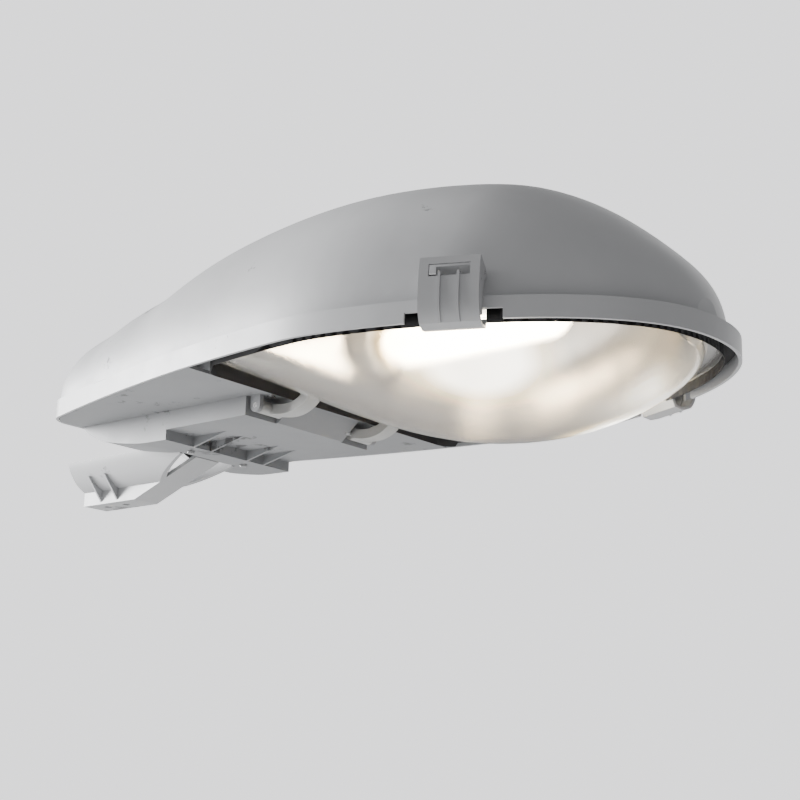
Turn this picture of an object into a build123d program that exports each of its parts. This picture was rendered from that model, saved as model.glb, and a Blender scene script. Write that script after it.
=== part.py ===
"""Street lantern head with a hinged bowl, side clips and an under-slung spigot clamp.

The frame has +X from the pole towards the lamp, +Y to the left of that and +Z up.
The origin is on the axis of the pole spigot, half way along the clamp.
"""
from build123d import *
from math import atan2, cos, pi, sin
import os

os.makedirs("parts", exist_ok=True)

# ---------------------------------------------------------------- driving sizes
# Canopy
CANOPY_LENGTH = 670.0
CANOPY_WIDTH = 393.0
CANOPY_HEIGHT = 173.0
CANOPY_REAR = 20.0
REAR_WIDTH = 246.0
REAR_CORNER_RADIUS = 28.0
WIDEST_SHARE = 0.587
BAND_HEIGHT = 18.0
LEDGE_WIDTH = 10.5
LEDGE_LEAST = 0.06
CANOPY_WALL = 3.0
RIM_ABOVE_AXIS = 8.0

# Spigot clamp
SPIGOT_DIAMETER = 76.0
SPIGOT_CLEARANCE = 0.3
SPIGOT_RELIEF = 0.7
RELIEF_X = 57.0
TROUGH_WALL = 4.0
TROUGH_REAR = -50.0
TROUGH_DROP = 11.5
TROUGH_FRONT = 117.0
EAR_REAR = 71.0
EAR_FRONT = 113.0
EAR_OUTREACH = 72.0
EAR_THICKNESS = 5.0
STRUT_WIDTH = 31.0
BOSS_LENGTH = 79.0
BOSS_DROP = 53.5
STRUT_THICKNESS = 4.0
RIB_PLACES = (-24.0, 1.0)
RIB_THICKNESS = 2.0
RIB_OUT = 36.0
RIB_TOP = 27.0
SET_SCREW_DIAMETER = 8.0
SET_SCREW_LENGTH = 14.0
SET_SCREW_PLACES = (-29.0, -1.0)
SADDLE_WALL = 3.0
CLAMP_BOLT_DIAMETER = 8.0
CLAMP_BOLT_PLACES = (82.0, 104.0)
CLAMP_BOLT_OUT = 60.0

# Rear cover
COVER_FRONT = 278.0
COVER_WALL = 3.0
COVER_GAP = 0.6
BLOCK_WIDTH = 170.0
BLOCK_DEPTH = 18.0
STEP_DEPTH = 28.0
BLOCK_REAR = 24.0
STEP_FRONT = 148.0
BLOCK_FRONT = 256.0
POCKET_REAR = 253.0
POCKET_INNER = 45.0
GUSSET_PLACES = (-48.0, -24.5, 24.5, 48.0)
GUSSET_LENGTH = 44.0
GUSSET_THICKNESS = 2.5
COVER_SCREW_DIAMETER = 5.0
COVER_SCREW_FRONT = (273.0, 72.0)
COVER_SCREW_REAR = (131.0, 36.0)

# Bowl and its hinge
BOWL_INSET = 15.5
BOWL_REAR = 287.0
BOWL_CORNER_RADIUS = 12.0
BOWL_RECESS = 9.0
BOWL_FLANGE = 7.0
BOWL_WALL = 3.0
BOWL_DEPTH = 55.0
HINGE_AXIS_X = 262.0
HINGE_AXIS_DROP = 9.5
HINGE_BARREL_RADIUS = 6.0
HINGE_PIN_DIAMETER = 5.0
RUNNING_CLEARANCE = 0.05
STRAP_SPACING = 115.0
STRAP_WIDTH = 16.0
STRAP_DEPTH = 9.0
BARREL_OUT = 77.0
EAR_LUG_OUT = 82.0
LUG_GAP = 0.4

# Seal frame, gasket and reflector
FRAME_THICKNESS = 2.0
FRAME_INNER = 28.0
FRAME_SCREW_DIAMETER = 4.0
FRAME_SCREW_PLACES = (345.0, 460.0)
FRAME_SCREW_IN = 24.2
FRAME_SCREW_PLAY = 0.4
GASKET_HEIGHT = 2.5
GASKET_GAP = 0.4
REFLECTOR_WALL = 1.5
REFLECTOR_REAR = 330.0
REFLECTOR_TOP = 132.0
REFLECTOR_FLANGE = 8.0
NECK_RADIUS = 46.0
NECK_Z = 66.0
BULKHEAD_X = 283.0
BULKHEAD_THICKNESS = 2.0
GROMMET_RADIUS = 9.0
BRACKET_HALF = 30.0
BRACKET_THICKNESS = 3.0

# Lamp
LAMP_AXIS_Z = 60.0
LAMP_HOLDER_RADIUS = 26.0
LAMP_HOLDER_LENGTH = 58.0
LAMP_CAP_RADIUS = 19.5
LAMP_CAP_LENGTH = 44.0
LAMP_GLASS_RADIUS = 23.0
LAMP_GLASS_LENGTH = 190.0
LAMP_GLASS_WALL = 1.2
ARC_TUBE_RADIUS = 4.5
ARC_TUBE_LENGTH = 92.0
LAMP_STEM_RADIUS = 2.0

# Clips
CLIP_X = 548.0
CLIP_WIDTH = 48.0
CLIP_WALL = 2.6
CLIP_PIVOT_HEIGHT = 38.0
CLIP_PIVOT_IN = 5.0
CLIP_PIN_DIAMETER = 4.0
CLIP_WINDOW_WIDTH = 33.0
CLIP_WINDOW_HEIGHT = 10.5
CLIP_LUG_WIDTH = 28.0
CLIP_LUG_ROOT = 24.0
NOTCH_WIDTH = 78.0
NOTCH_HEIGHT = 8.5
LIP_REACH = 12.0
CLIP_RIB_SPACING = 15.0
SPRING_WIDTH = 20.0

# Control gear
TRAY_THICKNESS = 2.0
TRAY_Z = 46.0
TRAY_REAR = 142.0
TRAY_FRONT = 262.0
TRAY_WIDTH = 210.0
TRAY_NECK = 110.0
TRAY_SCREW_OUT = 44.0
TRAY_SCREW_DIAMETER = 4.0
TERMINAL_SIZE = (14.0, 60.0, 18.0)
CAPACITOR_OUT = 78.0
BALLAST_SIZE = (76.0, 66.0, 52.0)
CAPACITOR_RADIUS = 20.0
CAPACITOR_LENGTH = 92.0
IGNITOR_SIZE = (78.0, 34.0, 32.0)

# ---------------------------------------------------------------- derived sizes
HALF_WIDTH = CANOPY_WIDTH / 2
CANOPY_FRONT = CANOPY_REAR + CANOPY_LENGTH
WIDEST_X = CANOPY_REAR + WIDEST_SHARE * CANOPY_LENGTH
RIM_Z = RIM_ABOVE_AXIS
DOME_BASE = RIM_Z + BAND_HEIGHT
DOME_FRONT = CANOPY_FRONT - LEDGE_WIDTH - 0.7
LEDGE_START = CANOPY_REAR + 0.18 * CANOPY_LENGTH
LEDGE_FULL = CANOPY_REAR + 0.70 * CANOPY_LENGTH
SPIGOT_RADIUS = SPIGOT_DIAMETER / 2
BORE_RADIUS = SPIGOT_RADIUS + SPIGOT_CLEARANCE
TROUGH_RADIUS = BORE_RADIUS + TROUGH_WALL
FLANGE_Z = RIM_Z + BOWL_RECESS
FLANGE_TOP = FLANGE_Z + BOWL_WALL
GASKET_Z = FLANGE_TOP + GASKET_GAP
FRAME_Z = GASKET_Z + GASKET_HEIGHT + GASKET_GAP
FRAME_TOP = FRAME_Z + FRAME_THICKNESS
HINGE_Z = RIM_Z - HINGE_AXIS_DROP
BIG = 1000.0


# ---------------------------------------------------------------- outlines
def rim_half_width(x):
    """Half width of the canopy's rim at a station along its length."""
    if x <= WIDEST_X:
        share = (WIDEST_X - x) / (WIDEST_X - CANOPY_REAR)
        return HALF_WIDTH - (HALF_WIDTH - REAR_WIDTH / 2) * share**1.62
    share = min((x - WIDEST_X) / (CANOPY_FRONT - WIDEST_X), 1.0)
    return HALF_WIDTH * (1 - share**1.44) ** (1 / 2.22)


def rim_point(turn):
    """Point of the rim's left side, from the widest place (0) round to the front tip (90 degrees)."""
    along = sin(turn) ** (2 / 1.44)
    return WIDEST_X + (CANOPY_FRONT - WIDEST_X) * along, HALF_WIDTH * cos(turn) ** (2 / 2.22)


def moved_in(point, before, after, inset):
    """A point of the rim moved inwards, square to the line between its neighbours."""
    slope = atan2(after[1] - before[1], after[0] - before[0])
    return point[0] + inset * sin(slope), point[1] - inset * cos(slope)


def rim_outline(inset):
    """Plan outline of the rim, drawn in by an inset on every side."""
    points = [(CANOPY_REAR + inset, rim_half_width(CANOPY_REAR + inset) - inset)]
    for k in range(1, 5):
        x = CANOPY_REAR + (WIDEST_X - CANOPY_REAR) * k / 4.5
        around = [(near, rim_half_width(near)) for near in (x, x - 1, x + 1)]
        points.append(moved_in(*around, inset))
    for k in range(6):
        turn = k * pi / 12
        points.append(moved_in(rim_point(turn), rim_point(max(turn - 0.01, 0)), rim_point(turn + 0.01), inset))
    points.append((CANOPY_FRONT - inset, 0))
    with BuildSketch(mode=Mode.PRIVATE) as outline:
        with BuildLine():
            side = Spline(*points, tangents=[(1, 0.3), (0, -1)])
            Line((CANOPY_REAR + inset, 0), side @ 0)
            mirror(about=Plane.XZ)
        make_face()
        rear_corners = outline.vertices().group_by(Axis.X)[0].group_by(SortBy.DISTANCE)[-1]
        fillet(rear_corners, max(REAR_CORNER_RADIUS - inset, 2))
    return outline.sketch


def front_outline(inset, rear):
    """The rim's outline in front of a straight rear edge, with rounded rear corners."""
    with BuildSketch(mode=Mode.PRIVATE) as outline:
        add(rim_outline(inset))
        with Locations((rear, 0)):
            Rectangle(BIG, BIG, align=(Align.MIN, Align.CENTER), mode=Mode.INTERSECT)
        fillet(outline.vertices().group_by(Axis.X)[0], BOWL_CORNER_RADIUS)
    return outline.sketch


def dome_half_width(x, inset):
    """Half width of the canopy's dome, which steps in from the rim towards the front."""
    along = x
    if x > WIDEST_X:
        along = WIDEST_X + (x - WIDEST_X) * (CANOPY_FRONT - WIDEST_X) / (DOME_FRONT - WIDEST_X)
    ledge = LEDGE_WIDTH * min(max((x - LEDGE_START) / (LEDGE_FULL - LEDGE_START), LEDGE_LEAST), 1)
    radius = REAR_CORNER_RADIUS - inset
    into_corner = min(max(REAR_CORNER_RADIUS - (x - CANOPY_REAR), 0), radius)
    corner = radius - (radius**2 - into_corner**2) ** 0.5
    return rim_half_width(along) * (1 - ledge / HALF_WIDTH) - inset - corner


def arched_section(x, half, base, spring, top):
    """Upright section across the head: straight sides up to the spring line, then an arch."""
    side = (top - spring) * 0.58
    with BuildSketch(Plane.YZ.offset(x), mode=Mode.PRIVATE) as section:
        with BuildLine():
            Line((0, base), (half, base))
            Line((half, base), (half, spring))
            Bezier((half, spring), (half, spring + side), (half * 0.57, top), (0, top))
            mirror(about=Plane.YZ)
        make_face()
    return section.sketch


# Station along the canopy and the dome's height there, as shares of its length and height
DOME_PROFILE = (
    (0.0, 0.42), (0.006, 0.49), (0.018, 0.545), (0.042, 0.595), (0.12, 0.66), (0.19, 0.73), (0.28, 0.83),
    (0.385, 0.947), (0.49, 0.995), (0.59, 0.998), (0.68, 0.972), (0.76, 0.915),
    (0.83, 0.80), (0.89, 0.64), (0.94, 0.47), (0.966, 0.36), (0.9785, 0.27), (0.982, 0.215),
)


def dome_height(x):
    """Height of the dome's ridge above the rim, between the stations of its profile."""
    share = (x - CANOPY_REAR) / CANOPY_LENGTH
    for (low, rise), (high, next_rise) in zip(DOME_PROFILE, DOME_PROFILE[1:]):
        if share <= high:
            return CANOPY_HEIGHT * (rise + (next_rise - rise) * (share - low) / (high - low))
    return CANOPY_HEIGHT * DOME_PROFILE[-1][1]


def dome_surface(x, y):
    """Height of the dome's outer face over a point of the plan."""
    half = dome_half_width(x, 0)
    low, high = 0.0, 1.0
    for _ in range(30):
        t = (low + high) / 2
        across = half * ((1 - t) ** 3 + 3 * (1 - t) ** 2 * t + 3 * 0.57 * (1 - t) * t**2)
        low, high = (t, high) if across > y else (low, t)
    top = RIM_Z + dome_height(x)
    return DOME_BASE + (top - DOME_BASE) * (3 * 0.58 * (1 - t) ** 2 * t + 3 * (1 - t) * t**2 + t**3)


def dome_solid(inset, base):
    """The dome as one smooth solid, drawn in by an inset on every side."""
    with BuildPart(mode=Mode.PRIVATE) as dome:
        for share, rise in DOME_PROFILE:
            x = CANOPY_REAR + inset + share * (CANOPY_LENGTH - 2 * inset)
            top = RIM_Z + rise * CANOPY_HEIGHT - inset
            add(arched_section(x, dome_half_width(x, inset), base, DOME_BASE, top))
        loft()
    return dome.part


def clip_plane(side):
    """Plane at a clip: x along the rim, y upwards and z pointing out of the head."""
    x = CLIP_X
    y = rim_half_width(x)
    slope = atan2(rim_half_width(x + 5) - rim_half_width(x - 5), 10)
    along = (cos(slope), side * sin(slope), 0)
    outward = (-sin(slope), side * cos(slope), 0)
    if side < 0:
        return Plane((x, -y, RIM_Z), x_dir=along, z_dir=outward)
    return Plane((x, y, RIM_Z), x_dir=(-along[0], -along[1], 0), z_dir=outward)


CLIP_SIDES = {"near": -1, "far": 1}

def save(piece, name):
    """Label a finished piece and write it as its own STEP file."""
    piece.part.label = name
    export_step(piece.part, f"parts/{name}.step")


# ---------------------------------------------------------------- canopy
PILLAR_RADIUS = CLAMP_BOLT_DIAMETER
BOLT_SPOTS = [(x, y) for x in CLAMP_BOLT_PLACES for y in (-CLAMP_BOLT_OUT, CLAMP_BOLT_OUT)]
FRONT_SCREWS = [(COVER_SCREW_FRONT[0], y) for y in (-COVER_SCREW_FRONT[1], COVER_SCREW_FRONT[1])]
REAR_SCREWS = [(COVER_SCREW_REAR[0], y) for y in (-COVER_SCREW_REAR[1], COVER_SCREW_REAR[1])]
FRAME_SCREWS = [
    (x, side * (rim_half_width(x) - FRAME_SCREW_IN)) for x in FRAME_SCREW_PLACES for side in (-1, 1)
]
BLOCK_FLOOR = RIM_Z - BLOCK_DEPTH
STEP_FLOOR = RIM_Z - STEP_DEPTH
COVER_TOP = RIM_Z + COVER_WALL
PILLARS = (
    (BOLT_SPOTS, SADDLE_WALL, CLAMP_BOLT_DIAMETER),
    (FRONT_SCREWS, COVER_TOP, COVER_SCREW_DIAMETER),
    (REAR_SCREWS, STEP_FLOOR + COVER_WALL + 1.5, COVER_SCREW_DIAMETER),
    (FRAME_SCREWS, FRAME_TOP + REFLECTOR_WALL, FRAME_SCREW_DIAMETER),
)

dome_outside = dome_solid(0, DOME_BASE - 1)
dome_inside = dome_solid(CANOPY_WALL, DOME_BASE - CANOPY_WALL - 1)

with BuildPart() as canopy:
    add(dome_outside)
    with BuildSketch(Plane.XY.offset(RIM_Z)):
        add(rim_outline(0))
    extrude(amount=BAND_HEIGHT)
    add(dome_inside, mode=Mode.SUBTRACT)
    with BuildSketch(Plane.XY.offset(RIM_Z)):
        add(rim_outline(CANOPY_WALL))
    extrude(amount=BAND_HEIGHT - CANOPY_WALL, mode=Mode.SUBTRACT)
    # Pillars that hang from the dome for the clamp bolts and the cover's screws
    for spots, foot, bore in PILLARS:
        for x, y in spots:
            with BuildSketch(Plane((x, y, foot))):
                Circle(PILLAR_RADIUS)
            extrude(amount=dome_surface(x, abs(y) + PILLAR_RADIUS) - CANOPY_WALL / 2 - foot)
        with BuildSketch(Plane.XY.offset(foot)):
            with Locations(*spots):
                Circle(bore / 2 + RUNNING_CLEARANCE)
        extrude(amount=3 * bore, mode=Mode.SUBTRACT)
    # Lugs that the clips hang from, and notches that the clips' lips pass through
    for side in CLIP_SIDES.values():
        place = clip_plane(side)
        with BuildSketch(place.offset(-CLIP_LUG_ROOT)):
            with Locations((0, CLIP_PIVOT_HEIGHT)):
                Rectangle(CLIP_LUG_WIDTH, 3 * CLIP_PIN_DIAMETER)
        extrude(amount=CLIP_LUG_ROOT - CLIP_PIVOT_IN + CLIP_PIN_DIAMETER)
        with BuildSketch(place.offset(-2 * CANOPY_WALL)):
            Rectangle(NOTCH_WIDTH, 2 * NOTCH_HEIGHT)
        extrude(amount=4 * CANOPY_WALL, mode=Mode.SUBTRACT)
        pin_centre = place.from_local_coords((0, CLIP_PIVOT_HEIGHT, -CLIP_PIVOT_IN))
        with BuildSketch(Plane(pin_centre, z_dir=place.x_dir)):
            Circle(CLIP_PIN_DIAMETER / 2)
        extrude(amount=CLIP_LUG_WIDTH, both=True, mode=Mode.SUBTRACT)
    # Round entry for the pole's spigot
    with BuildSketch(Plane.YZ.offset(CANOPY_REAR - 1)):
        Circle(BORE_RADIUS + 2)
    extrude(amount=CANOPY_WALL + 3, mode=Mode.SUBTRACT)
save(canopy, "canopy")

# ---------------------------------------------------------------- spigot clamp
STRUT_SLOPE = (STEP_FLOOR + BOSS_DROP) / (TROUGH_FRONT - TROUGH_REAR - BOSS_LENGTH)
BOSS_FRONT = TROUGH_REAR + BOSS_LENGTH

with BuildPart() as spigot_bracket:
    with BuildSketch(Plane.YZ.offset(TROUGH_REAR)):
        Circle(TROUGH_RADIUS)
        Rectangle(STRUT_WIDTH, 2 * BOSS_DROP)
        with Locations((0, -TROUGH_DROP)):
            Rectangle(BIG, BIG, align=(Align.CENTER, Align.MAX), mode=Mode.INTERSECT)
    extrude(amount=TROUGH_FRONT - TROUGH_REAR)
    # Ears inside the cover's block, joined to the trough by upright webs
    with BuildSketch(Plane.YZ.offset(EAR_REAR)):
        Rectangle(2 * EAR_OUTREACH, EAR_THICKNESS, align=(Align.CENTER, Align.MAX))
        Rectangle(2 * TROUGH_RADIUS - 3, TROUGH_DROP + 1, align=(Align.CENTER, Align.MAX))
    extrude(amount=EAR_FRONT - EAR_REAR)
    with BuildSketch(Plane.YZ.offset(TROUGH_REAR)):
        Circle(BORE_RADIUS)
    extrude(amount=TROUGH_FRONT - TROUGH_REAR, mode=Mode.SUBTRACT)
    with BuildSketch(Plane.YZ.offset(RELIEF_X)):
        Circle(BORE_RADIUS + SPIGOT_RELIEF)
    extrude(amount=TROUGH_FRONT - RELIEF_X, mode=Mode.SUBTRACT)
    # The front runs up at a slope, closed by a flat strut that also stops the pole
    with BuildSketch(Plane.XZ):
        with BuildLine():
            Polyline(
                (BOSS_FRONT, -BOSS_DROP), (TROUGH_FRONT + 1, STEP_FLOOR + STRUT_SLOPE),
                (TROUGH_FRONT + 1, -BIG), (BOSS_FRONT, -BIG), close=True,
            )
        make_face()
    extrude(amount=BIG, both=True, mode=Mode.SUBTRACT)
    with BuildSketch(Plane.XZ):
        with BuildLine():
            Polyline(
                (BOSS_FRONT, -BOSS_DROP), (TROUGH_FRONT, STEP_FLOOR),
                (TROUGH_FRONT, STEP_FLOOR + STRUT_THICKNESS),
                (BOSS_FRONT, -BOSS_DROP + STRUT_THICKNESS), close=True,
            )
        make_face()
    extrude(amount=STRUT_WIDTH / 2, both=True)
    with Locations(*[(x, 0, -BOSS_DROP) for x in SET_SCREW_PLACES]):
        Cylinder(
            SET_SCREW_DIAMETER / 2 + RUNNING_CLEARANCE, BOSS_DROP,
            align=(Align.CENTER, Align.CENTER, Align.MIN), mode=Mode.SUBTRACT,
        )
    with Locations(*[(x, y, 0) for x, y in BOLT_SPOTS]):
        Cylinder(CLAMP_BOLT_DIAMETER / 2 + 0.5, 4 * EAR_THICKNESS, mode=Mode.SUBTRACT)
    # Two ribs down each side of the boss
    for x in RIB_PLACES:
        with BuildSketch(Plane.YZ.offset(x)):
            with BuildLine():
                Polyline(
                    (STRUT_WIDTH / 2 - 1, -BOSS_DROP + 1), (RIB_OUT, -RIB_TOP), (RIB_OUT - 4, -RIB_TOP),
                    (STRUT_WIDTH / 2 - 1, 4 - BORE_RADIUS), close=True,
                )
            make_face()
            mirror(about=Plane.YZ)
        extrude(amount=RIB_THICKNESS)
    with BuildSketch(Plane.YZ.offset(TROUGH_REAR)):
        Circle(BORE_RADIUS)
    extrude(amount=BOSS_LENGTH, mode=Mode.SUBTRACT)
save(spigot_bracket, "spigot_bracket")

with BuildPart() as spigot_saddle:
    with BuildSketch(Plane.YZ.offset(EAR_REAR)):
        Circle(BORE_RADIUS + SPIGOT_RELIEF + SADDLE_WALL)
        Rectangle(2 * EAR_OUTREACH, 2 * SADDLE_WALL)
        Circle(BORE_RADIUS + SPIGOT_RELIEF, mode=Mode.SUBTRACT)
        Rectangle(BIG, BIG, align=(Align.CENTER, Align.MIN), mode=Mode.INTERSECT)
    extrude(amount=EAR_FRONT - EAR_REAR)
    with Locations(*[(x, y, 0) for x, y in BOLT_SPOTS]):
        Cylinder(CLAMP_BOLT_DIAMETER / 2 + 0.5, 4 * SADDLE_WALL, mode=Mode.SUBTRACT)
save(spigot_saddle, "spigot_saddle")

with BuildPart() as clamp_bolts:
    with BuildSketch(Plane.XY.offset(-EAR_THICKNESS)):
        with Locations(*BOLT_SPOTS):
            Circle(CLAMP_BOLT_DIAMETER / 2)
    extrude(amount=EAR_THICKNESS + SADDLE_WALL + 2.5 * CLAMP_BOLT_DIAMETER)
    with BuildSketch(Plane.XY.offset(-EAR_THICKNESS)):
        with Locations(*BOLT_SPOTS):
            RegularPolygon(0.8 * CLAMP_BOLT_DIAMETER, 6, major_radius=False)
    extrude(amount=-0.5 * CLAMP_BOLT_DIAMETER)
save(clamp_bolts, "clamp_bolts")

for name, x in zip(("set_screw_rear", "set_screw_front"), SET_SCREW_PLACES):
    with BuildPart() as set_screw:
        with BuildSketch(Plane((x, 0, -BORE_RADIUS - RUNNING_CLEARANCE))):
            Circle(SET_SCREW_DIAMETER / 2)
        extrude(amount=-SET_SCREW_LENGTH)
        with BuildSketch(Plane((x, 0, -BORE_RADIUS - RUNNING_CLEARANCE - SET_SCREW_LENGTH))):
            RegularPolygon(SET_SCREW_DIAMETER / 4, 6, major_radius=False)
        extrude(amount=SET_SCREW_DIAMETER / 2, mode=Mode.SUBTRACT)
        chamfer(set_screw.faces().sort_by(Axis.Z)[-1].edges(), 1)
    save(set_screw, name)

# ---------------------------------------------------------------- rear cover
RAMP = ((0.0, 1.0), (0.05, 0.82), (0.145, 0.55), (0.235, 0.39), (0.39, 0.23), (0.64, 0.06), (1.0, 0.0))


def block_profile(wall):
    """Side view of the cover's block: ramp, step, flat floor and sloped front."""
    ramp = [
        (
            BLOCK_REAR + wall + share * (STEP_FRONT - BLOCK_REAR - 2 * wall),
            STEP_FLOOR + wall + rise * STEP_DEPTH,
        )
        for share, rise in RAMP
    ]
    top = COVER_TOP + 2 if wall else COVER_TOP
    front = POCKET_REAR - wall if wall else BLOCK_FRONT
    nose = front if wall else COVER_FRONT - 2
    with BuildSketch(Plane.XZ, mode=Mode.PRIVATE) as profile:
        with BuildLine():
            slope = Spline(*ramp, tangents=[(1, -0.8), (1, -0.02)])
            Polyline(
                slope @ 1, (STEP_FRONT - wall, BLOCK_FLOOR + wall), (front, BLOCK_FLOOR + wall),
                (nose, RIM_Z), (nose, top), (ramp[0][0], top), slope @ 0,
            )
        make_face()
    return profile.sketch


with BuildPart() as rear_cover:
    with BuildSketch(Plane.XY.offset(RIM_Z)):
        add(rim_outline(CANOPY_WALL + COVER_GAP))
        with Locations((COVER_FRONT, 0)):
            Rectangle(BIG, BIG, align=(Align.MAX, Align.CENTER), mode=Mode.INTERSECT)
    extrude(amount=COVER_WALL)
    with BuildSketch(Plane.XZ):
        add(block_profile(0))
    extrude(amount=BLOCK_WIDTH / 2, both=True)
    with BuildSketch(Plane.XZ):
        add(block_profile(COVER_WALL))
    extrude(amount=BLOCK_WIDTH / 2 - COVER_WALL, both=True, mode=Mode.SUBTRACT)
    # Pockets for the bowl's hinges, roofed by the plate
    with Locations(*[(POCKET_REAR, side * BLOCK_WIDTH / 2, RIM_Z) for side in (-1, 1)]):
        Box(
            BIG, BLOCK_WIDTH - 2 * POCKET_INNER, 2 * BLOCK_DEPTH,
            align=(Align.MIN, Align.CENTER, Align.MAX), mode=Mode.SUBTRACT,
        )
    with BuildSketch(Plane.XZ):
        with BuildLine():
            Polyline(
                (POCKET_REAR - COVER_WALL - 1, BLOCK_FLOOR + COVER_WALL),
                (POCKET_REAR, BLOCK_FLOOR + COVER_WALL),
                (COVER_FRONT - 4 * COVER_WALL, RIM_Z - COVER_WALL),
                (COVER_FRONT - 4 * COVER_WALL, COVER_TOP + 1),
                (POCKET_REAR - COVER_WALL - 1, COVER_TOP + 1), close=True,
            )
        make_face()
    extrude(amount=POCKET_INNER - COVER_WALL, both=True, mode=Mode.SUBTRACT)
    # Outer lug of each hinge
    for side in (-1, 1):
        with BuildSketch(Plane.XZ.offset(-side * EAR_LUG_OUT)):
            with Locations((HINGE_AXIS_X, HINGE_Z)):
                Circle(HINGE_BARREL_RADIUS)
                Rectangle(
                    2 * HINGE_BARREL_RADIUS, RIM_Z - HINGE_Z + 1, align=(Align.CENTER, Align.MIN)
                )
        extrude(amount=side * (EAR_LUG_OUT - BARREL_OUT - LUG_GAP))
        with BuildSketch(Plane.XZ.offset(-side * BLOCK_WIDTH / 2)):
            with Locations((HINGE_AXIS_X, HINGE_Z)):
                Circle(HINGE_PIN_DIAMETER / 2)
        extrude(amount=side * (BLOCK_WIDTH / 2 - POCKET_INNER + COVER_WALL + 1), mode=Mode.SUBTRACT)
    # Gussets that brace the step
    for y in GUSSET_PLACES:
        with BuildSketch(Plane.XZ.offset(-y)):
            with BuildLine():
                Polyline(
                    (STEP_FRONT - 1, STEP_FLOOR), (STEP_FRONT - 1, BLOCK_FLOOR + 1),
                    (STEP_FRONT + GUSSET_LENGTH, BLOCK_FLOOR + 1),
                    (STEP_FRONT + GUSSET_LENGTH, BLOCK_FLOOR), (STEP_FRONT, STEP_FLOOR), close=True,
                )
            make_face()
        extrude(amount=GUSSET_THICKNESS / 2, both=True)
    # Slot that the clamp's trough hangs through, open to the rear
    with BuildSketch(Plane.YZ):
        Circle(TROUGH_RADIUS + 0.8)
    extrude(amount=TROUGH_FRONT + 1, mode=Mode.SUBTRACT)
    for spots, floor in ((FRONT_SCREWS, RIM_Z), (REAR_SCREWS, STEP_FLOOR)):
        with BuildSketch(Plane.XY.offset(floor)):
            with Locations(*spots):
                Circle(COVER_SCREW_DIAMETER / 2 + 0.4)
        extrude(amount=3 * COVER_WALL, mode=Mode.SUBTRACT)
save(rear_cover, "rear_cover")

with BuildPart() as cover_screws:
    for spots, floor in ((FRONT_SCREWS, RIM_Z), (REAR_SCREWS, STEP_FLOOR)):
        with BuildSketch(Plane.XY.offset(floor)):
            with Locations(*spots):
                Circle(COVER_SCREW_DIAMETER / 2)
        extrude(amount=COVER_WALL + 2 * COVER_SCREW_DIAMETER)
        with BuildSketch(Plane.XY.offset(floor)):
            with Locations(*spots):
                Circle(0.76 * COVER_SCREW_DIAMETER)
        extrude(amount=-0.4 * COVER_SCREW_DIAMETER)
save(cover_screws, "cover_screws")

# ---------------------------------------------------------------- seal frame and bulkhead
FRAME_REAR = BULKHEAD_X - 1.5
OPENING_REAR = BOWL_REAR + 12

with BuildPart() as seal_frame:
    with BuildSketch(Plane.XY.offset(FRAME_Z)):
        add(front_outline(CANOPY_WALL + LEDGE_WIDTH + 4, FRAME_REAR))
        add(front_outline(FRAME_INNER, OPENING_REAR), mode=Mode.SUBTRACT)
        with Locations(*FRAME_SCREWS):
            Circle(FRAME_SCREW_DIAMETER / 2 + FRAME_SCREW_PLAY, mode=Mode.SUBTRACT)
    extrude(amount=FRAME_THICKNESS)
save(seal_frame, "seal_frame")

with BuildPart() as bowl_gasket:
    with BuildSketch(Plane.XY.offset(GASKET_Z)):
        add(front_outline(CANOPY_WALL + COVER_GAP, FRAME_REAR))
        add(front_outline(BOWL_INSET + 5, BOWL_REAR + 5), mode=Mode.SUBTRACT)
    extrude(amount=GASKET_HEIGHT)
save(bowl_gasket, "bowl_gasket")

TRAY_SCREWS = [(y, TRAY_Z + 7) for y in (-TRAY_SCREW_OUT, TRAY_SCREW_OUT)]
bulkhead_half = dome_half_width(BULKHEAD_X, CANOPY_WALL + 3)
bulkhead_top = RIM_Z + dome_height(BULKHEAD_X) - CANOPY_WALL - 3

with BuildPart() as bulkhead:
    extrude(
        arched_section(BULKHEAD_X, bulkhead_half, FRAME_TOP, FRAME_TOP + 2, bulkhead_top),
        amount=BULKHEAD_THICKNESS, dir=(1, 0, 0),
    )
    with BuildSketch(Plane.YZ.offset(BULKHEAD_X)):
        with Locations((0, LAMP_AXIS_Z), (BRACKET_HALF + 14, LAMP_AXIS_Z)):
            Circle(GROMMET_RADIUS)
        with Locations(*TRAY_SCREWS):
            Circle(TRAY_SCREW_DIAMETER / 2 + FRAME_SCREW_PLAY)
    extrude(amount=BULKHEAD_THICKNESS, mode=Mode.SUBTRACT)
save(bulkhead, "bulkhead")

# ---------------------------------------------------------------- reflector
REFLECTOR_INSET = FRAME_INNER + 5
REFLECTOR_FRONT = CANOPY_FRONT - REFLECTOR_INSET
REFLECTOR_PROFILE = (
    (0.0, 0.86), (0.12, 0.93), (0.30, 1.0), (0.48, 0.985), (0.64, 0.90),
    (0.78, 0.74), (0.88, 0.57), (0.95, 0.40), (0.985, 0.25),
)


def dish_half_width(x, front, inset):
    """Half width of a dish that follows the rim inside it, up to a front tip of its own."""
    along = x
    if x > WIDEST_X:
        along = WIDEST_X + (x - WIDEST_X) * (CANOPY_FRONT - WIDEST_X) / (front - WIDEST_X)
    return rim_half_width(along) - inset


def reflector_solid(wall):
    """The reflector's dome as a solid, drawn in by a wall."""
    with BuildPart(mode=Mode.PRIVATE) as dish:
        for share, rise in REFLECTOR_PROFILE:
            x = REFLECTOR_REAR + wall + share * (REFLECTOR_FRONT - REFLECTOR_REAR - 2 * wall)
            half = dish_half_width(x, REFLECTOR_FRONT, REFLECTOR_INSET + wall)
            top = FRAME_TOP + rise * (REFLECTOR_TOP - FRAME_TOP) - wall
            add(arched_section(x, half, FRAME_TOP, FRAME_TOP + 2, top))
        loft()
    return dish.part


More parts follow.
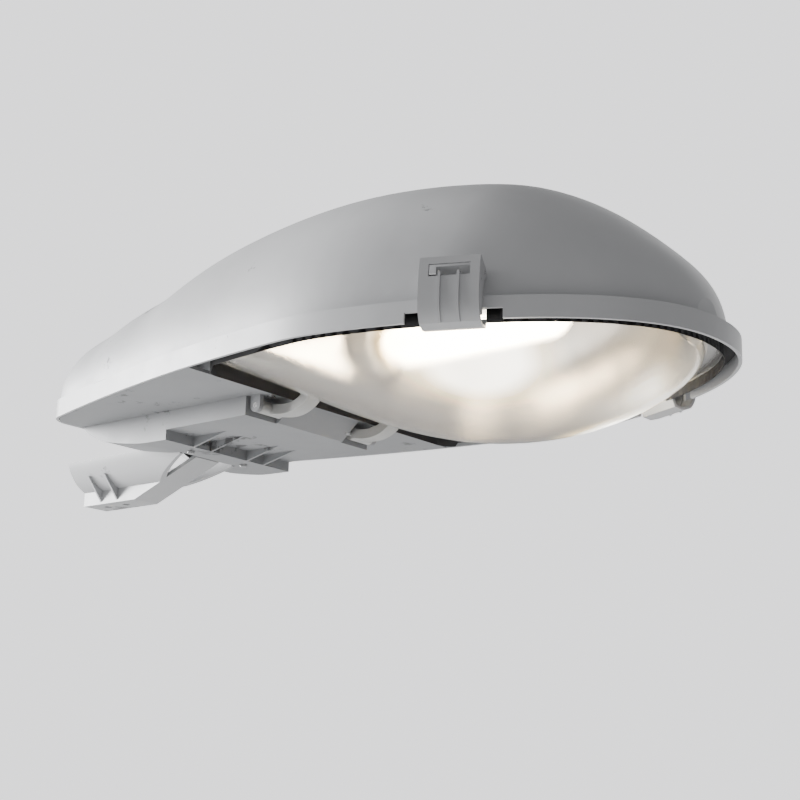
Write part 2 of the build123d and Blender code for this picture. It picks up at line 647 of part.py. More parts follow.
reflector_outside = reflector_solid(0)
reflector_inside = reflector_solid(REFLECTOR_WALL)

with BuildPart() as reflector:
    add(reflector_outside)
    with BuildSketch(Plane.XY.offset(FRAME_TOP)):
        add(front_outline(FRAME_INNER - REFLECTOR_FLANGE, OPENING_REAR - 5))
        with Locations(*FRAME_SCREWS):
            Circle(FRAME_SCREW_DIAMETER / 2 + FRAME_SCREW_PLAY, mode=Mode.SUBTRACT)
    extrude(amount=REFLECTOR_WALL)
    add(reflector_inside, mode=Mode.SUBTRACT)
    with BuildSketch(Plane.YZ.offset(REFLECTOR_REAR - 1)):
        with Locations((0, NECK_Z)):
            Circle(NECK_RADIUS)
        with Locations((0, FRAME_TOP + 2 * REFLECTOR_WALL)):
            Rectangle(BIG, BIG, align=(Align.CENTER, Align.MIN), mode=Mode.INTERSECT)
    extrude(amount=REFLECTOR_WALL + 2, mode=Mode.SUBTRACT)
save(reflector, "reflector")

with BuildPart() as frame_screws:
    with BuildSketch(Plane.XY.offset(FRAME_Z)):
        with Locations(*FRAME_SCREWS):
            Circle(FRAME_SCREW_DIAMETER / 2)
    extrude(amount=FRAME_THICKNESS + REFLECTOR_WALL + 2 * FRAME_SCREW_DIAMETER)
    with BuildSketch(Plane.XY.offset(FRAME_Z)):
        with Locations(*FRAME_SCREWS):
            Circle(0.74 * FRAME_SCREW_DIAMETER)
    extrude(amount=-0.4 * FRAME_SCREW_DIAMETER)
save(frame_screws, "frame_screws")

# ---------------------------------------------------------------- lamp
HOLDER_REAR = BULKHEAD_X + BULKHEAD_THICKNESS + BRACKET_THICKNESS
HOLDER_FRONT = HOLDER_REAR + LAMP_HOLDER_LENGTH
CAP_REAR = HOLDER_FRONT - LAMP_CAP_LENGTH + 10
GLASS_REAR = CAP_REAR + LAMP_CAP_LENGTH

with BuildPart() as holder_bracket:
    with BuildSketch(Plane.YZ.offset(BULKHEAD_X + BULKHEAD_THICKNESS)):
        with Locations((0, LAMP_AXIS_Z)):
            RectangleRounded(2 * BRACKET_HALF, 2 * BRACKET_HALF - 8, 6)
            Circle(GROMMET_RADIUS, mode=Mode.SUBTRACT)
    extrude(amount=BRACKET_THICKNESS)
save(holder_bracket, "holder_bracket")

with BuildPart() as lamp_holder:
    with BuildSketch(Plane.YZ.offset(HOLDER_REAR)):
        with Locations((0, LAMP_AXIS_Z)):
            Circle(LAMP_HOLDER_RADIUS)
    extrude(amount=LAMP_HOLDER_LENGTH)
    chamfer(lamp_holder.faces().sort_by(Axis.X)[0].edges(), 4)
    with BuildSketch(Plane.YZ.offset(CAP_REAR - 4)):
        with Locations((0, LAMP_AXIS_Z)):
            Circle(LAMP_CAP_RADIUS + 0.4)
    extrude(amount=LAMP_HOLDER_LENGTH, mode=Mode.SUBTRACT)
save(lamp_holder, "lamp_holder")

with BuildPart() as lamp_cap:
    with BuildSketch(Plane.YZ.offset(CAP_REAR)):
        with Locations((0, LAMP_AXIS_Z)):
            Circle(LAMP_CAP_RADIUS)
    extrude(amount=LAMP_CAP_LENGTH)
    fillet(lamp_cap.faces().sort_by(Axis.X)[0].edges(), 6)
save(lamp_cap, "lamp_cap")


def glass_profile(wall):
    """Half section of the lamp's tubular glass, from its neck to its round end."""
    radius = LAMP_GLASS_RADIUS - wall
    start = GLASS_REAR + wall
    straight = GLASS_REAR + LAMP_GLASS_LENGTH - LAMP_GLASS_RADIUS
    neck = LAMP_CAP_RADIUS - 3 - wall
    with BuildSketch(Plane.XZ, mode=Mode.PRIVATE) as profile:
        with BuildLine():
            Polyline(
                (start, LAMP_AXIS_Z), (start, LAMP_AXIS_Z + neck),
                (start + 14, LAMP_AXIS_Z + radius), (straight, LAMP_AXIS_Z + radius),
            )
            RadiusArc((straight, LAMP_AXIS_Z + radius), (straight + radius, LAMP_AXIS_Z), radius)
            Line((straight + radius, LAMP_AXIS_Z), (start, LAMP_AXIS_Z))
        make_face()
    return profile.sketch


LAMP_AXIS = Axis((0, 0, LAMP_AXIS_Z), (1, 0, 0))

with BuildPart() as lamp_glass:
    with BuildSketch(Plane.XZ):
        add(glass_profile(0))
    revolve(axis=LAMP_AXIS)
    with BuildSketch(Plane.XZ):
        add(glass_profile(LAMP_GLASS_WALL))
    revolve(axis=LAMP_AXIS, mode=Mode.SUBTRACT)
save(lamp_glass, "lamp_glass")

ARC_REAR = GLASS_REAR + (LAMP_GLASS_LENGTH - ARC_TUBE_LENGTH) / 2

with BuildPart() as arc_tube:
    with BuildSketch(Plane.YZ.offset(ARC_REAR)):
        with Locations((0, LAMP_AXIS_Z)):
            Circle(ARC_TUBE_RADIUS)
    extrude(amount=ARC_TUBE_LENGTH)
    fillet(arc_tube.edges().filter_by(GeomType.CIRCLE), ARC_TUBE_RADIUS / 3)
save(arc_tube, "arc_tube")

with BuildPart() as lamp_stem:
    with BuildSketch(Plane.YZ.offset(GLASS_REAR + LAMP_GLASS_WALL)):
        with Locations((0, LAMP_AXIS_Z)):
            Circle(LAMP_STEM_RADIUS)
    extrude(amount=ARC_REAR - GLASS_REAR - LAMP_GLASS_WALL)
save(lamp_stem, "lamp_stem")

# ---------------------------------------------------------------- bowl
DISH_INSET = BOWL_INSET + BOWL_FLANGE
DISH_REAR = BOWL_REAR + BOWL_FLANGE
DISH_FRONT = CANOPY_FRONT - DISH_INSET
BOWL_PROFILE = (
    (0.0, 0.12), (0.05, 0.30), (0.14, 0.56), (0.27, 0.82), (0.42, 0.97), (0.54, 1.0),
    (0.66, 0.94), (0.78, 0.80), (0.88, 0.62), (0.94, 0.45), (0.975, 0.28), (0.99, 0.16),
)


def dish_section(x, half, depth, wall):
    """Upright section of the bowl's dish, hanging from the underside of its flange."""
    low = FLANGE_Z - depth
    with BuildSketch(Plane.YZ.offset(x), mode=Mode.PRIVATE) as section:
        with BuildLine():
            Line((0, FLANGE_TOP + wall), (half, FLANGE_TOP + wall))
            Line((half, FLANGE_TOP + wall), (half, FLANGE_Z))
            Bezier((half, FLANGE_Z), (half * 0.94, FLANGE_Z - depth * 0.5), (half * 0.5, low), (0, low))
            mirror(about=Plane.YZ)
        make_face()
    return section.sketch


def bowl_solid(wall):
    """The bowl's dish as a solid, drawn in by a wall."""
    with BuildPart(mode=Mode.PRIVATE) as dish:
        for share, fall in BOWL_PROFILE:
            x = DISH_REAR + wall + share * (DISH_FRONT - DISH_REAR - 2 * wall)
            half = dish_half_width(x, DISH_FRONT, DISH_INSET + wall)
            add(dish_section(x, half, fall * BOWL_DEPTH - min(wall, fall * BOWL_DEPTH / 2), wall))
        loft()
    return dish.part


bowl_outside = bowl_solid(0)
bowl_inside = bowl_solid(BOWL_WALL)

with BuildPart() as bowl:
    with BuildSketch(Plane.XY.offset(FLANGE_Z)):
        add(front_outline(BOWL_INSET, BOWL_REAR))
    extrude(amount=BOWL_WALL)
    add(bowl_outside)
    with BuildSketch(Plane.XY.offset(FLANGE_TOP)):
        Rectangle(3 * BIG, BIG)
    extrude(amount=BIG, mode=Mode.SUBTRACT)
    add(bowl_inside, mode=Mode.SUBTRACT)
save(bowl, "bowl")

# ---------------------------------------------------------------- bowl hinges
STRAP_REACH = 48.0
for name, side in CLIP_SIDES.items():
    middle = side * STRAP_SPACING / 2
    with BuildPart() as strap:
        with BuildSketch(Plane.XZ.offset(-middle)):
            with BuildLine() as path:
                Spline(
                    (HINGE_AXIS_X, HINGE_Z), (HINGE_AXIS_X + STRAP_REACH / 2, HINGE_Z - 2.5),
                    (HINGE_AXIS_X + STRAP_REACH, HINGE_Z + STRAP_DEPTH), tangents=[(1, -0.15), (0.75, 1)],
                )
            trace(line_width=STRAP_DEPTH)
        extrude(amount=STRAP_WIDTH / 2, both=True)
        add(bowl_outside, mode=Mode.SUBTRACT)
        with BuildSketch(Plane.XZ.offset(-side * (STRAP_SPACING - STRAP_WIDTH) / 2)):
            with Locations((HINGE_AXIS_X, HINGE_Z)):
                Circle(HINGE_BARREL_RADIUS)
        extrude(amount=-side * (BARREL_OUT - (STRAP_SPACING - STRAP_WIDTH) / 2))
        with BuildSketch(Plane.XZ):
            with Locations((HINGE_AXIS_X, HINGE_Z)):
                Circle(HINGE_PIN_DIAMETER / 2 + RUNNING_CLEARANCE)
        extrude(amount=BIG, both=True, mode=Mode.SUBTRACT)
    save(strap, f"hinge_strap_{name}")
    with BuildPart() as pin:
        with BuildSketch(Plane.XZ.offset(-side * (POCKET_INNER - COVER_WALL))):
            with Locations((HINGE_AXIS_X, HINGE_Z)):
                Circle(HINGE_PIN_DIAMETER / 2)
        extrude(amount=-side * (EAR_LUG_OUT - POCKET_INNER + COVER_WALL))
    save(pin, f"hinge_pin_{name}")

# ---------------------------------------------------------------- clips
CLIP_CURVE = ((8.0, 48.0), (11.0, 35.0), (12.5, 19.0), (11.5, 6.0), (6.5, -3.0))
for name, side in CLIP_SIDES.items():
    place = clip_plane(side)
    across = Plane(place.origin, x_dir=place.z_dir, z_dir=-place.x_dir)
    with BuildPart() as clip:
        with BuildSketch(across):
            with BuildLine():
                face = Spline(*CLIP_CURVE)
                lip = Polyline(face @ 1, (-2, -5.5), (-9.5, -4), (-LIP_REACH, 2))
            trace(line_width=CLIP_WALL)
        extrude(amount=CLIP_WIDTH / 2, both=True)
        with BuildSketch(place):
            with Locations((0, CLIP_PIVOT_HEIGHT - 1)):
                Rectangle(CLIP_WINDOW_WIDTH, CLIP_WINDOW_HEIGHT)
        extrude(amount=BIG, mode=Mode.SUBTRACT)
        # Side cheeks that turn on the pin
        for end in (-1, 1):
            with BuildSketch(across.offset(end * CLIP_WIDTH / 2)):
                with BuildLine():
                    Spline(*CLIP_CURVE[:4])
                    Polyline(
                        CLIP_CURVE[3], (1.5, 2), (1.5, 19.5), (-CLIP_PIVOT_IN, CLIP_PIVOT_HEIGHT - 5),
                        (-CLIP_PIVOT_IN, CLIP_PIVOT_HEIGHT + 5), CLIP_CURVE[0],
                    )
                make_face()
                with Locations((-CLIP_PIVOT_IN, CLIP_PIVOT_HEIGHT)):
                    Circle(5)
                    Circle(CLIP_PIN_DIAMETER / 2 + RUNNING_CLEARANCE, mode=Mode.SUBTRACT)
            extrude(amount=-end * CLIP_WALL)
        # Finger ribs down the face
        for along in (-CLIP_RIB_SPACING / 2, CLIP_RIB_SPACING / 2):
            with BuildSketch(across.offset(-along)):
                with BuildLine():
                    Spline(*CLIP_CURVE[1:])
                trace(line_width=CLIP_WALL + 2.4)
            extrude(amount=1, both=True)
    save(clip, f"clip_{name}")
    with BuildPart() as clip_pin:
        pin_centre = place.from_local_coords((0, CLIP_PIVOT_HEIGHT, -CLIP_PIVOT_IN))
        with BuildSketch(Plane(pin_centre, z_dir=place.x_dir)):
            Circle(CLIP_PIN_DIAMETER / 2)
        extrude(amount=CLIP_WIDTH / 2, both=True)
    save(clip_pin, f"clip_pin_{name}")
    with BuildPart() as spring:
        with BuildSketch(across):
            with BuildLine():
                Polyline(
                    (-LIP_REACH + 2.45, 0.6), (-LIP_REACH + 1.7, 6.5),
                    (-BOWL_INSET - 4, 8.2), (-BOWL_INSET - 5, 6),
                )
            trace(line_width=0.6)
        extrude(amount=SPRING_WIDTH / 2, both=True)
    save(spring, f"clip_spring_{name}")

# ---------------------------------------------------------------- control gear
with BuildPart() as gear_tray:
    with BuildSketch(Plane.XY.offset(TRAY_Z)):
        with Locations((TRAY_REAR, 0)):
            Rectangle(
                TRAY_FRONT - TRAY_REAR, TRAY_WIDTH, align=(Align.MIN, Align.CENTER)
            )
        with Locations((TRAY_FRONT, 0)):
            Rectangle(BULKHEAD_X - TRAY_FRONT, TRAY_NECK, align=(Align.MIN, Align.CENTER))
    extrude(amount=TRAY_THICKNESS)
    with BuildSketch(Plane.YZ.offset(BULKHEAD_X)):
        with Locations((0, TRAY_Z)):
            Rectangle(TRAY_NECK, 12, align=(Align.CENTER, Align.MIN))
        with Locations(*TRAY_SCREWS):
            Circle(TRAY_SCREW_DIAMETER / 2 + FRAME_SCREW_PLAY, mode=Mode.SUBTRACT)
    extrude(amount=-TRAY_THICKNESS)
save(gear_tray, "gear_tray")

with BuildPart() as tray_screws:
    with BuildSketch(Plane.YZ.offset(BULKHEAD_X - TRAY_THICKNESS)):
        with Locations(*TRAY_SCREWS):
            Circle(TRAY_SCREW_DIAMETER / 2)
    extrude(amount=3 * TRAY_SCREW_DIAMETER)
    with BuildSketch(Plane.YZ.offset(BULKHEAD_X - TRAY_THICKNESS)):
        with Locations(*TRAY_SCREWS):
            RegularPolygon(0.8 * TRAY_SCREW_DIAMETER, 6, major_radius=False)
    extrude(amount=-0.6 * TRAY_SCREW_DIAMETER)
    with BuildSketch(Plane.YZ.offset(BULKHEAD_X + BULKHEAD_THICKNESS)):
        with Locations(*TRAY_SCREWS):
            RegularPolygon(0.8 * TRAY_SCREW_DIAMETER, 6, major_radius=False)
            Circle(TRAY_SCREW_DIAMETER / 2, mode=Mode.SUBTRACT)
    extrude(amount=0.8 * TRAY_SCREW_DIAMETER)
save(tray_screws, "tray_screws")

DECK = TRAY_Z + TRAY_THICKNESS
BALLAST_MIDDLE = TRAY_REAR + 28 + BALLAST_SIZE[0] / 2

with BuildPart() as ballast_core:
    with BuildSketch(Plane.XY.offset(DECK)):
        with Locations((BALLAST_MIDDLE, 0)):
            Rectangle(BALLAST_SIZE[0], BALLAST_SIZE[1])
    extrude(amount=BALLAST_SIZE[2])
    with BuildSketch(Plane.XY.offset(DECK + BALLAST_SIZE[2] * 0.3)):
        with Locations((BALLAST_MIDDLE, 0)):
            Rectangle(BALLAST_SIZE[0] + 1, BALLAST_SIZE[1] * 0.5)
    extrude(amount=BALLAST_SIZE[2] * 0.4, mode=Mode.SUBTRACT)
save(ballast_core, "ballast_core")

with BuildPart() as ballast_coil:
    with BuildSketch(Plane.XY.offset(DECK + BALLAST_SIZE[2] * 0.3)):
        with Locations((BALLAST_MIDDLE, 0)):
            RectangleRounded(BALLAST_SIZE[0] + 16, BALLAST_SIZE[1] * 0.5, 8)
    extrude(amount=BALLAST_SIZE[2] * 0.4)
save(ballast_coil, "ballast_coil")

with BuildPart() as capacitor:
    with BuildSketch(Plane.YZ.offset(TRAY_REAR + 6)):
        with Locations((-CAPACITOR_OUT, DECK + CAPACITOR_RADIUS)):
            Circle(CAPACITOR_RADIUS)
    extrude(amount=CAPACITOR_LENGTH)
    fillet(capacitor.edges().filter_by(GeomType.CIRCLE), 2)
save(capacitor, "capacitor")

with BuildPart() as ignitor:
    with BuildSketch(Plane.XY.offset(DECK)):
        with Locations((TRAY_FRONT - IGNITOR_SIZE[0] / 2 - 4, CAPACITOR_OUT)):
            RectangleRounded(IGNITOR_SIZE[0], IGNITOR_SIZE[1], 3)
    extrude(amount=IGNITOR_SIZE[2])
save(ignitor, "ignitor")

with BuildPart() as terminal_block:
    with BuildSketch(Plane.XY.offset(DECK)):
        with Locations((TRAY_REAR + 12, 0)):
            Rectangle(TERMINAL_SIZE[0], TERMINAL_SIZE[1])
    extrude(amount=TERMINAL_SIZE[2])
    with BuildSketch(Plane.XY.offset(DECK + TERMINAL_SIZE[2])):
        with Locations((TRAY_REAR + 12, 0)):
            with GridLocations(0, TERMINAL_SIZE[1] / 3, 1, 3):
                Circle(3)
    extrude(amount=-TERMINAL_SIZE[2] / 2, mode=Mode.SUBTRACT)
save(terminal_block, "terminal_block")

with BuildPart() as cable_clamp:
    with BuildSketch(Plane.XY.offset(DECK)):
        with Locations((TRAY_REAR + 12, CAPACITOR_OUT)):
            RectangleRounded(14, 40, 3)
    extrude(amount=12)
    with BuildSketch(Plane.YZ.offset(TRAY_REAR)):
        with Locations((CAPACITOR_OUT, DECK + 6)):
            Circle(4.5)
    extrude(amount=40, mode=Mode.SUBTRACT)
save(cable_clamp, "cable_clamp")

with BuildPart() as earth_screw:
    with BuildSketch(Plane.XY.offset(DECK)):
        with Locations((TRAY_REAR + 12, -CAPACITOR_OUT / 1.6)):
            RegularPolygon(4, 6, major_radius=False)
    extrude(amount=3)
    with BuildSketch(Plane.XY.offset(DECK + 3)):
        with Locations((TRAY_REAR + 12, -CAPACITOR_OUT / 1.6)):
            Circle(2)
    extrude(amount=5)
save(earth_screw, "earth_screw")
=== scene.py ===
from math import cos, radians, sin

import bmesh
import bpy
from mathutils import Matrix, Vector


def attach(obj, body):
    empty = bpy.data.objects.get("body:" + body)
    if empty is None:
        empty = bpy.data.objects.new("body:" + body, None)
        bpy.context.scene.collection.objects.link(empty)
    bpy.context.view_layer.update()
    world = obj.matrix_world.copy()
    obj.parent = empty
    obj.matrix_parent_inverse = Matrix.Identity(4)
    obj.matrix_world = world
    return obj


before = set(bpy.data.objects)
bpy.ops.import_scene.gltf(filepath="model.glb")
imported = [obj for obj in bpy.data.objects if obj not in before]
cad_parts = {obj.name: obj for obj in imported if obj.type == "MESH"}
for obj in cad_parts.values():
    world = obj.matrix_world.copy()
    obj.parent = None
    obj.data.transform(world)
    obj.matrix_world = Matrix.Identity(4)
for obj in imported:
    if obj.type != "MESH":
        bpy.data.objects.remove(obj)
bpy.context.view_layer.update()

# ---------------------------------------------------------------- view, light and floor
# The head is seen from below and in front of its near side, as it hangs above eye height.
# A strong soft light stands to the left, with wider, weaker ones above and behind.
view_turn = radians(39.791)
view_rise = radians(14.569)
view_roll = radians(1.699)
ahead = Vector((-sin(view_turn) * cos(view_rise), cos(view_turn) * cos(view_rise), sin(view_rise)))
right = Vector((cos(view_turn), sin(view_turn), 0))
upward = right.cross(ahead)
tilted_right = cos(view_roll) * right + sin(view_roll) * upward
tilted_up = cos(view_roll) * upward - sin(view_roll) * right
stand = Matrix((tilted_right, tilted_up, -ahead)).transposed().to_4x4()
stand.translation = Vector((1.2646, -1.0807, -0.3590))

camera_data = bpy.data.cameras.new("camera")
camera_data.sensor_width = 36.0
camera_data.lens = 72.14
camera_data.clip_end = 60.0
camera = bpy.data.objects.new("camera", camera_data)
camera.matrix_world = stand
bpy.context.scene.collection.objects.link(camera)
bpy.context.scene.camera = camera


def soft_light(name, place, aim, size, power, colour):
    """A square area light that faces a point."""
    data = bpy.data.lights.new(name, "AREA")
    data.size = size
    data.energy = power
    data.color = colour
    light = bpy.data.objects.new(name, data)
    light.location = place
    light.rotation_euler = (Vector(aim) - Vector(place)).to_track_quat("-Z", "Y").to_euler()
    bpy.context.scene.collection.objects.link(light)


centre = (0.36, 0.0, 0.06)
soft_light("light_left", (-2.3, -1.5, 0.45), centre, 1.0, 320.0, (1.0, 1.0, 1.0))
soft_light("light_above", (-0.6, -0.4, 2.6), centre, 2.0, 12.0, (1.0, 1.0, 1.0))
soft_light("light_behind", (0.2, 2.6, 0.9), centre, 2.4, 30.0, (1.0, 1.0, 1.0))

# The room is dimmer as a light than the pale backdrop that is seen behind the head
ROOM_LIGHT = 0.50
BACKDROP_LIGHT = 1.75
world = bpy.data.worlds.new("world")
world.use_nodes = True
air = world.node_tree
sky = air.nodes["Background"]
sky.inputs["Color"].default_value = (0.86, 0.86, 0.87, 1.0)
sky.inputs["Strength"].default_value = ROOM_LIGHT
backdrop = air.nodes.new("ShaderNodeBackground")
backdrop.inputs["Color"].default_value = (0.98, 0.98, 1.0, 1.0)
backdrop.inputs["Strength"].default_value = BACKDROP_LIGHT
ray = air.nodes.new("ShaderNodeLightPath")
seen = air.nodes.new("ShaderNodeMixShader")
air.links.new(ray.outputs["Is Camera Ray"], seen.inputs["Fac"])
air.links.new(sky.outputs["Background"], seen.inputs[1])
air.links.new(backdrop.outputs["Background"], seen.inputs[2])
air.links.new(seen.outputs["Shader"], air.nodes["World Output"].inputs["Surface"])
bpy.context.scene.world = world

FLOOR_DROP = 1.1
FLOOR_REACH = 14.0
floor_mesh = bmesh.new()
bmesh.ops.create_grid(floor_mesh, x_segments=1, y_segments=1, size=FLOOR_REACH)
bmesh.ops.translate(floor_mesh, verts=floor_mesh.verts, vec=(0.0, 0.0, -FLOOR_DROP))
floor_data = bpy.data.meshes.new("floor")
floor_mesh.to_mesh(floor_data)
floor_mesh.free()
floor = bpy.data.objects.new("floor", floor_data)
bpy.context.scene.collection.objects.link(floor)

floor_paint = bpy.data.materials.new("floor_paint")
floor_paint.use_nodes = True
floor_shader = floor_paint.node_tree.nodes["Principled BSDF"]
floor_shader.inputs["Base Color"].default_value = (0.78, 0.78, 0.78, 1.0)
floor_shader.inputs["Roughness"].default_value = 0.9
floor_data.materials.append(floor_paint)


# ---------------------------------------------------------------- canopy
# The housing is one aluminium casting with a satin grey coating.
# Its band, ledge and dome carry everything else; the coating is scuffed in a few places.
def blank_material(name):
    """A new node material with its shader and its Object coordinates."""
    material = bpy.data.materials.new(name)
    material.use_nodes = True
    tree = material.node_tree
    shader = tree.nodes["Principled BSDF"]
    return material, tree, shader, tree.nodes.new("ShaderNodeTexCoord").outputs["Object"]


def noise_at(tree, coords, scale, detail=4.0, roughness=0.55):
    """Cloudy noise of a given scale on some coordinates."""
    noise = tree.nodes.new("ShaderNodeTexNoise")
    noise.inputs["Scale"].default_value = scale
    noise.inputs["Detail"].default_value = detail
    noise.inputs["Roughness"].default_value = roughness
    tree.links.new(coords, noise.inputs["Vector"])
    return noise.outputs["Fac"]


def ramp_between(tree, value, low, high, low_colour, high_colour):
    """A colour ramp over part of a value's range."""
    ramp = tree.nodes.new("ShaderNodeValToRGB")
    ramp.color_ramp.elements[0].position = low
    ramp.color_ramp.elements[1].position = high
    ramp.color_ramp.elements[0].color = (*low_colour, 1.0)
    ramp.color_ramp.elements[1].color = (*high_colour, 1.0)
    tree.links.new(value, ramp.inputs["Fac"])
    return ramp.outputs["Color"]


def spread(tree, value, low, high):
    """A value from 0 to 1 turned into one between two limits."""
    scaled = tree.nodes.new("ShaderNodeMapRange")
    scaled.inputs["To Min"].default_value = low
    scaled.inputs["To Max"].default_value = high
    tree.links.new(value, scaled.inputs["Value"])
    return scaled.outputs["Result"]


def bumped(tree, shader, height, strength, distance):
    """Bump from a height value."""
    bump = tree.nodes.new("ShaderNodeBump")
    bump.inputs["Strength"].default_value = strength
    bump.inputs["Distance"].default_value = distance
    tree.links.new(height, bump.inputs["Height"])
    tree.links.new(bump.outputs["Normal"], shader.inputs["Normal"])


def mixed(tree, share, under, over):
    """Two colours mixed by a share."""
    mix = tree.nodes.new("ShaderNodeMix")
    mix.data_type = "RGBA"
    tree.links.new(share, mix.inputs["Factor"])
    tree.links.new(under, mix.inputs["A"])
    tree.links.new(over, mix.inputs["B"])
    return mix.outputs["Result"]


def coated_casting(name, shade, tint=(1.0, 1.0, 1.0), scuffs=0.62, roughness=(0.42, 0.58)):
    """Satin coating on cast metal: cloudy tone, fine grain, small dark scuffs and faint dirt."""
    material, tree, shader, coords = blank_material(name)
    dark = [shade * 0.93 * t for t in tint]
    light = [shade * 1.06 * t for t in tint]
    clouds = ramp_between(tree, noise_at(tree, coords, 7.0), 0.3, 0.7, dark, light)
    marks = noise_at(tree, coords, 46.0, 8.0, 0.72)
    patches = noise_at(tree, coords, 9.0, 2.0)
    both = tree.nodes.new("ShaderNodeMath")
    both.operation = "MULTIPLY"
    tree.links.new(marks, both.inputs[0])
    tree.links.new(patches, both.inputs[1])
    scuff = tree.nodes.new("ShaderNodeMapRange")
    scuff.inputs["From Min"].default_value = scuffs * 0.62
    scuff.inputs["From Max"].default_value = scuffs * 0.68
    tree.links.new(both.outputs[0], scuff.inputs["Value"])
    worn = tree.nodes.new("ShaderNodeRGB")
    worn.outputs[0].default_value = (shade * 0.42, shade * 0.42, shade * 0.43, 1.0)
    coloured = mixed(tree, scuff.outputs["Result"], clouds, worn.outputs[0])
    tree.links.new(coloured, shader.inputs["Base Color"])
    tree.links.new(spread(tree, noise_at(tree, coords, 30.0), *roughness), shader.inputs["Roughness"])
    shader.inputs["Metallic"].default_value = 0.15
    bumped(tree, shader, noise_at(tree, coords, 900.0, 2.0), 0.12, 0.0002)
    return material


def dress(material, *nodes):
    """Give carried-over pieces their material."""
    for node in nodes:
        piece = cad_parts[node]
        piece.data.materials.clear()
        piece.data.materials.append(material)


canopy_coating = coated_casting("canopy_coating", 0.42, (1.0, 1.01, 1.03))
dress(canopy_coating, "canopy")

# ---------------------------------------------------------------- spigot clamp
# Cast trough and saddle that close round the end of the pole.
# The same satin coating, a little darker, with plated bolts and screws.
bracket_coating = coated_casting("bracket_coating", 0.36, (1.0, 1.01, 1.03), 0.58)
dress(bracket_coating, "spigot_bracket", "spigot_saddle")


def plain_metal(name, colour, roughness, grain_scale=400.0, metallic=1.0, stretch=(1.0, 1.0, 1.0)):
    """Bare or plated metal with fine grain and cloudy gloss."""
    material, tree, shader, coords = blank_material(name)
    place = tree.nodes.new("ShaderNodeMapping")
    place.inputs["Scale"].default_value = stretch
    tree.links.new(coords, place.inputs["Vector"])
    dark = [c * 0.82 for c in colour]
    patches = noise_at(tree, place.outputs["Vector"], 40.0, 6.0)
    clouds = ramp_between(tree, patches, 0.3, 0.75, dark, colour)
    tree.links.new(clouds, shader.inputs["Base Color"])
    grain = noise_at(tree, place.outputs["Vector"], grain_scale, 3.0)
    tree.links.new(spread(tree, grain, roughness * 0.75, roughness * 1.25), shader.inputs["Roughness"])
    shader.inputs["Metallic"].default_value = metallic
    bumped(tree, shader, grain, 0.15, 0.0002)
    return material


plated_steel = plain_metal("plated_steel", (0.52, 0.52, 0.50), 0.38)
bright_steel = plain_metal("bright_steel", (0.60, 0.60, 0.60), 0.28)
dress(plated_steel, "clamp_bolts", "frame_screws", "tray_screws")
dress(bright_steel, "set_screw_rear", "set_screw_front", "cover_screws")
dress(bright_steel, "hinge_pin_near", "hinge_pin_far", "clip_pin_near", "clip_pin_far", "lamp_stem")

# ---------------------------------------------------------------- rear cover
# Cast cover under the gear, darker than the canopy and dulled by dirt.
# Four screws hold it to the canopy's pillars; its front carries the bowl's hinges.
cover_coating = coated_casting("cover_coating", 0.24, (0.98, 1.0, 1.03), 0.55, (0.5, 0.66))
dress(cover_coating, "rear_cover")


# ---------------------------------------------------------------- seal and inner sheet metal
# Black rubber seals the bowl; a flat frame, a bulkhead and a tray are folded from sheet.
def moulded(name, colour, roughness, grain=700.0, strength=0.2):
    """Moulded rubber, plastic or porcelain with a faint texture."""
    material, tree, shader, coords = blank_material(name)
    dark = [c * 0.85 for c in colour]
    clouds = ramp_between(tree, noise_at(tree, coords, 24.0), 0.3, 0.7, dark, colour)
    tree.links.new(clouds, shader.inputs["Base Color"])
    gloss = spread(tree, noise_at(tree, coords, 60.0), roughness * 0.85, roughness * 1.15)
    tree.links.new(gloss, shader.inputs["Roughness"])
    bumped(tree, shader, noise_at(tree, coords, grain, 2.0), strength, 0.0002)
    return material


# The gasket's own black rubber; the same near-black also paints the shade skirt below.
black_rubber_and_shade = moulded("black_rubber_and_shade", (0.012, 0.012, 0.013), 0.75)
dress(black_rubber_and_shade, "bowl_gasket")
dress(plain_metal("mill_aluminium", (0.55, 0.56, 0.57), 0.42), "seal_frame")
galvanised_sheet = plain_metal("galvanised_sheet", (0.56, 0.57, 0.58), 0.45, 90.0)
dress(galvanised_sheet, "bulkhead", "holder_bracket", "gear_tray")

# ---------------------------------------------------------------- shade skirt, painted shade
# A thin near-black sheet that hangs from the gasket just outside the bowl's flange. It is painted
# shade: it stands in for the dark, unlit gap between the canopy's rim and the bowl, and is cut away
# where each clip hooks under the bowl.
SKIRT_OUT = 0.0063
SKIRT_THICKNESS = 0.0009
SKIRT_TOP = 0.0206
SKIRT_LOW = 0.0088
SKIRT_LOW_AT_REAR = 0.0050
SKIRT_REAR = 0.300
CLIP_GAP = (0.5235, 0.5635)
skirt_mesh = bmesh.new()
skirt_mesh.from_mesh(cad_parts["bowl_gasket"].data)
bmesh.ops.remove_doubles(skirt_mesh, verts=skirt_mesh.verts, dist=1e-6)
opening = Vector((0.49, 0.0, 0.0216))
outer = [
    face for face in skirt_mesh.faces
    if abs(face.normal.z) > 0.5 or face.normal.dot(opening - face.calc_center_median()) < 0
]
bmesh.ops.delete(skirt_mesh, geom=outer, context="FACES")
skirt_mesh.normal_update()
for vert in skirt_mesh.verts:
    inward = Vector((vert.normal.x, vert.normal.y, 0.0)).normalized()
    foot = SKIRT_LOW_AT_REAR if vert.co.x < SKIRT_REAR else SKIRT_LOW
    vert.co.z = SKIRT_TOP if vert.co.z > opening.z else foot
    vert.co -= SKIRT_OUT * inward
for cut in CLIP_GAP:
    whole = skirt_mesh.verts[:] + skirt_mesh.edges[:] + skirt_mesh.faces[:]
    bmesh.ops.bisect_plane(
        skirt_mesh, geom=whole, plane_co=(cut, 0.0, 0.0), plane_no=(1.0, 0.0, 0.0)
    )
at_clip = [
    face for face in skirt_mesh.faces if CLIP_GAP[0] < face.calc_center_median().x < CLIP_GAP[1]
]
